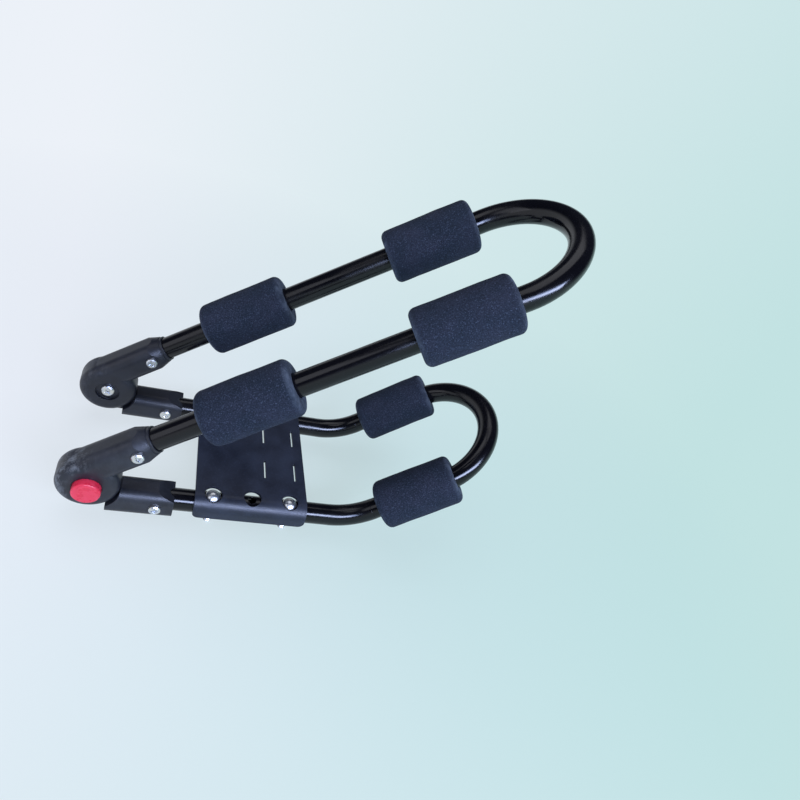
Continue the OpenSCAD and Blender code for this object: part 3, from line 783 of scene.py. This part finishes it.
def middle_of(values):
    """Halfway between the least and the greatest of some values."""
    return (min(values) + max(values)) / 2


def join(name, pieces):
    """Joins pieces into one, under a new name."""
    bpy.ops.object.select_all(action="DESELECT")
    for piece in pieces:
        piece.select_set(True)
    bpy.context.view_layer.objects.active = pieces[0]
    bpy.ops.object.join()
    pieces[0].name = pieces[0].data.name = name
    return pieces[0]


low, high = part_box("mounting_bolts")
tube_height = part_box("lower_frame_tube")[0].z + TUBE_BEND_RADIUS
points = [vertex.co for vertex in frame["nodes"]["mounting_bolts"].data.vertices]
tips = [point for point in points if point.z < low.z + TIP_CHAMFER / 2]
bolts = []
for side_x, side_y in ((-1, -1), (-1, 1), (1, -1), (1, 1)):
    tip = [point for point in tips if point.x * side_x > 0 and point.y * side_y > 0]
    x, y = middle_of([point.x for point in tip]), middle_of([point.y for point in tip])
    bolt = join("bolt", [make_head(high.z, tube_height), make_shank(low.z, high.z),
                         make_thread(low.z + TIP_CHAMFER)])
    bolt.data.transform(Matrix.Translation((x, y, 0)))
    bolts.append(bolt)
    print("A bolt stands at", round(x / MM, 1), round(y / MM, 1), "mm")
bolts = join("threaded_bolts", bolts)
bpy.ops.object.shade_smooth_by_angle(angle=math.radians(30))
bolts.data.materials.append(zinc)
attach(bolts, "base")
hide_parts("mounting_bolts")
print("Faces of the four bolts:", len(bolts.data.polygons))

# %% [markdown]
# ## The floor
# The rack stands on a plain pale studio floor. Its colour runs from a cool white on the left to a
# light teal on the right. It is worked out from the direction of a point and not from its place,
# so that the floor and the world behind it meet without a seam. Both also ask what kind of ray
# meets them, because they look one way to the eye and light the rack in another.

# %% Backdrop
COOL_WHITE = "#ecf1f8"
LIGHT_TEAL = "#c2e2e2"
BACKDROP_LEAN = 0.3


def eye_rays(tree):
    """1 for the rays that show the backdrop straight to the eye, and 0 for all others."""
    rays = add_node(tree, "LightPath").node.outputs
    return add_node(tree, "Math", {
        0: rays["Is Camera Ray"], 1: rays["Is Transmission Ray"]}, operation="MAXIMUM")


def seen_rays(tree):
    """1 for the rays that show the backdrop, to the eye or in a gloss, and 0 for the others."""
    glossy = add_node(tree, "LightPath", out="Is Glossy Ray")
    return add_node(tree, "Math", {0: eye_rays(tree), 1: glossy}, operation="MAXIMUM")


def backdrop_colour(tree, place, distance):
    """The backdrop's colour in a direction, from cool white on the left to light teal."""
    along = add_node(tree, "SeparateXYZ", {"Vector": place}).node.outputs
    lean = add_node(tree, "Math", {0: along["Y"], 1: BACKDROP_LEAN}, operation="MULTIPLY")
    across = add_node(tree, "Math", {0: along["X"], 1: lean}, operation="SUBTRACT")
    direction = add_node(tree, "Math", {0: across, 1: distance}, operation="DIVIDE")
    share = add_node(tree, "MapRange", {"Value": direction, "From Min": -0.44, "From Max": 0.64})
    return add_node(tree, "Mix", {0: share, 6: COOL_WHITE, 7: LIGHT_TEAL}, 2, data_type="RGBA")


print("The backdrop runs from", COOL_WHITE, "to", LIGHT_TEAL)

# %% [markdown]
# A plain floor would grow darker with distance, where the lamps don't reach. So the further a
# point is from the rack, the more of its backdrop colour it gives off by itself, but only to the
# rays that show it. Near the rack enough of it stays plain to catch the soft shadow.

# %% Floor
FLOOR_SIZE = 400
UNDER_RACK = 0.35
floor_z = cad_box[0][2]


def studio_floor():
    material, tree, shader, place = new_finish("pale_floor", "#dfe8ee", Roughness=1.0)
    distance = add_node(tree, "VectorMath", {0: place}, "Value", operation="LENGTH")
    softened = add_node(tree, "Math", {0: distance, 1: UNDER_RACK}, operation="ADD")
    colour = backdrop_colour(tree, place, softened)
    link_patterns(tree, shader, {"Base Color": colour})
    given_off = add_node(tree, "MapRange", {
        "Value": distance, "From Min": 0.2, "From Max": 0.8, "To Min": 0.72, "To Max": 1.0})
    share = add_node(tree, "Math", {0: given_off, 1: seen_rays(tree)}, operation="MULTIPLY")
    plain = add_node(tree, "Emission", {"Color": colour, "Strength": 1.0})
    blend = add_node(tree, "MixShader", {0: share, 1: shader.outputs[0], 2: plain})
    tree.links.new(blend, tree.nodes["Material Output"].inputs["Surface"])
    return material


bpy.ops.mesh.primitive_grid_add(x_subdivisions=4, y_subdivisions=4, size=FLOOR_SIZE,
                                location=(0, 0, floor_z))
floor = bpy.context.object
floor.name = "studio_floor"
bpy.ops.object.transform_apply(location=True, rotation=True, scale=True)
floor.data.materials.append(studio_floor())
print("The floor lies at", round(floor_z / MM, 1), "mm")

# %% [markdown]
# ## Light
# A black glossy tube shows almost nothing but what it reflects, so the lamps are chosen for their
# shape. One wide softbox overhead and a low one on the left light the foam, the bracket and the
# floor. A long strip in front draws a narrow streak along each tube. A large blue card beside it
# is seen in glossy surfaces only: it spreads a cool band over the rolled edges and the housings,
# which a lamp of that power couldn't do without washing out the foam.

# %% Lamps
MIDDLE = (cad_box[0][0] + cad_box[1][0]) / 2, 0, (cad_box[0][2] + cad_box[1][2]) / 2


def softbox(name, place, size, watts, colour):
    """A lamp with a flat rectangular front that faces the middle of the rack."""
    bpy.ops.object.light_add(type="AREA", location=place)
    lamp = bpy.context.object
    lamp.name = name
    lamp.data.shape = "RECTANGLE"
    lamp.data.size, lamp.data.size_y = size
    lamp.data.energy = watts
    lamp.data.color = linear(colour)[:3]
    aim = Vector(MIDDLE) - Vector(place)
    lamp.rotation_euler = aim.to_track_quat("-Z", "Y").to_euler()
    return lamp


softbox("overhead_softbox", (-0.3, 0.4, 2.1), (2.2, 1.4), 13, "#f6f8ff")
softbox("front_strip", (0.6, -1.5, 1.0), (1.6, 0.3), 26, "#e2eaff")
card = softbox("reflection_card", (0.5, -1.55, 1.05), (2.0, 0.6), 72, "#b8ccff")
card.visible_diffuse = False
softbox("left_softbox", (-1.8, -0.7, 1.1), (1.4, 1.4), 8, "#f2f5ff")

# %% [markdown]
# The world has three tasks, and the light path tells them apart. To the eye it is the backdrop.
# In glossy surfaces it is the backdrop too, but with a dark ceiling, because a black tube under a
# white sky would turn grey. To everything else it is an even pale grey that fills the shadows.

# %% World
FILL_GREY = "#949aa6"
DARK_CEILING = "#2c323e"

world = bpy.data.worlds.new("studio")
bpy.context.scene.world = world
world.use_nodes = True
sky = world.node_tree
background = sky.nodes["Background"]
direction = add_node(sky, "TexCoord", out="Generated")
height = add_node(sky, "SeparateXYZ", {"Vector": direction}, "Z")
horizon = backdrop_colour(sky, direction, 1.0)
above = add_node(sky, "MapRange", {"Value": height, "From Min": 0.06, "From Max": 0.3})
unseen = add_node(sky, "Math", {0: above, 1: eye_rays(sky)}, operation="SUBTRACT")
ceiling = add_node(sky, "MapRange", {"Value": unseen})
studio = add_node(sky, "Mix", {0: ceiling, 6: horizon, 7: DARK_CEILING}, 2, data_type="RGBA")
tone = add_node(sky, "Mix", {0: seen_rays(sky), 6: FILL_GREY, 7: studio}, 2, data_type="RGBA")
link_patterns(sky, background, {"Color": tone})
background.inputs["Strength"].default_value = 1.0
print("Nodes in the world:", len(sky.nodes))

# %% [markdown]
# ## Camera
# The camera stands in front of the rack's right side, looks down at it and leans to one side. Its
# place, lens and lean were found by fitting the rack's known shape to the photographed view. The
# picture is cropped off centre, which a small lens shift repeats.

# %% Camera
IMAGE = 800
SENSOR = 36
FOCAL_PX = 621.65
AXIS_X, AXIS_Y = 359.9, 418.4
CAMERA_PLACE = Vector((-118.9, -461.8, 478.9)) * MM
AZIMUTH = math.radians(25.27)
ELEVATION = math.radians(38.57)
LEAN = math.radians(25.47)

bpy.ops.object.camera_add(location=CAMERA_PLACE)
camera = bpy.context.object
camera.data.sensor_width = SENSOR
camera.data.lens = FOCAL_PX / IMAGE * SENSOR
camera.data.shift_x = (IMAGE / 2 - AXIS_X) / IMAGE
camera.data.shift_y = (AXIS_Y - IMAGE / 2) / IMAGE
camera.data.clip_start = 0.01
ahead = Vector((math.sin(AZIMUTH) * math.cos(ELEVATION),
                math.cos(AZIMUTH) * math.cos(ELEVATION), -math.sin(ELEVATION)))
level = ahead.to_track_quat("-Z", "Y")
lean = Matrix.Rotation(LEAN, 4, "Z").to_quaternion()
camera.rotation_euler = (level @ lean).to_euler()
bpy.context.scene.camera = camera
bpy.context.scene.view_settings.view_transform = "Standard"
print("Lens:", round(camera.data.lens, 2), "mm")
